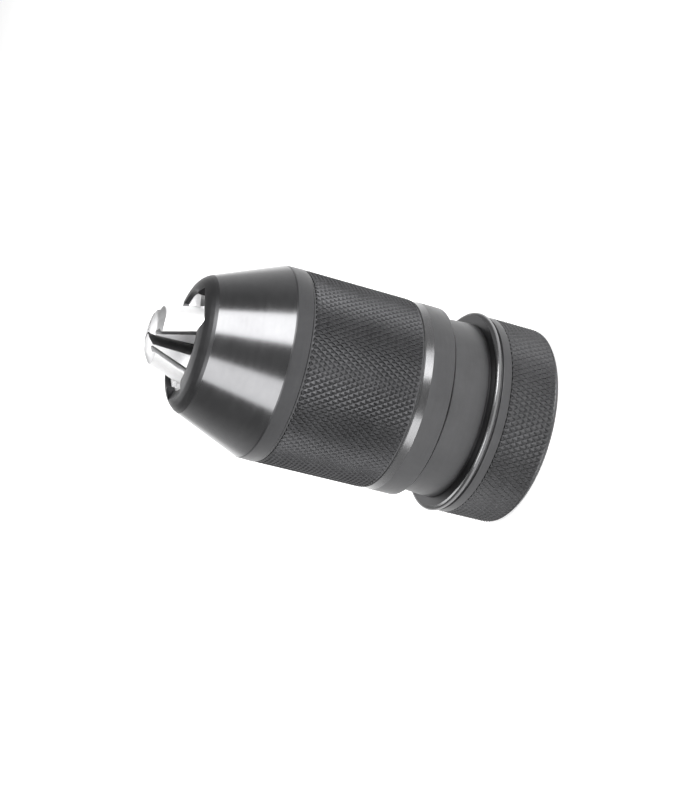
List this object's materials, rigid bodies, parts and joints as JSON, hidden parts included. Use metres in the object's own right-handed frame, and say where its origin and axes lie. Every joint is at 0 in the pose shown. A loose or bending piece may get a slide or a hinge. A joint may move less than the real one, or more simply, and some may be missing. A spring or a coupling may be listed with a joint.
{
  "type": "keyless drill chuck",
  "caption": "Self-tightening keyless drill chuck with a knurled hood, ground nose cone, plain waist and knurled holding collar, on a short taper socket.",
  "frame": {"origin": "centre of the chuck's rear face, on the axis", "axes": "+Z along the chuck axis toward the jaws; the three jaws are at 90, 210 and 330 degrees about +Z from +X"},
  "size_m": [0.0532, 0.0532, 0.1006],
  "materials": {
    "blackened_steel": "satin oxide black over turned and knurled steel",
    "grey_steel": "fine turned",
    "bright_steel": "ground",
    "pin_steel": "ground",
    "ball_steel": "polished",
    "bronze": "turned",
    "felt": "pressed felt"
  },
  "bodies": {
    "chuck_body": {"body": "grey_steel", "neck_ring": "blackened_steel", "knurled_collar": "blackened_steel", "collar_dowels": "pin_steel", "front_race": "bright_steel", "shim_washer": "pin_steel"},
    "hood": {"hood": "blackened_steel", "jaw_guide": "grey_steel", "guide_dowels": "pin_steel", "sleeve": "blackened_steel", "guide_bush": "bronze", "dust_seal": "felt", "rear_race": "bright_steel"},
    "ball_set": {"ball_cage": "bronze", "bearing_balls": "ball_steel"},
    "jaw_screw": {"jaw_screw": "grey_steel"},
    "jaw_1": {"jaw_1": "bright_steel"},
    "jaw_2": {"jaw_2": "bright_steel"},
    "jaw_3": {"jaw_3": "bright_steel"}
  },
  "joints": [
    {"name": "hood_turn", "type": "hinge", "parent": "chuck_body", "child": "hood", "pos_m": [0, 0, 0.05], "axis": [0, 0, 1], "range_deg": [0, 1978]},
    {"name": "cage_turn", "type": "hinge", "parent": "chuck_body", "child": "ball_set", "pos_m": [0, 0, 0.04], "axis": [0, 0, 1], "range_deg": [0, 990]},
    {"name": "screw_draw", "type": "slide", "parent": "hood", "child": "jaw_screw", "axis": [0, 0, -1], "range_m": [0, 0.0165]},
    {"name": "jaw_1_slide", "type": "slide", "parent": "hood", "child": "jaw_1", "axis": [0, 0.342, -0.9397], "range_m": [0, 0.01756]},
    {"name": "jaw_2_slide", "type": "slide", "parent": "hood", "child": "jaw_2", "axis": [-0.2962, -0.171, -0.9397], "range_m": [0, 0.01756]},
    {"name": "jaw_3_slide", "type": "slide", "parent": "hood", "child": "jaw_3", "axis": [0.2962, -0.171, -0.9397], "range_m": [0, 0.01756]}
  ],
  "couplings": [
    {"joint": "cage_turn", "follows": "hood_turn", "ratio": 0.5},
    {"joint": "screw_draw", "follows": "hood_turn", "m_per_rad": 0.00047746},
    {"joint": "jaw_1_slide", "follows": "hood_turn", "m_per_rad": 0.00050811},
    {"joint": "jaw_2_slide", "follows": "hood_turn", "m_per_rad": 0.00050811},
    {"joint": "jaw_3_slide", "follows": "hood_turn", "m_per_rad": 0.00050811}
  ]
}
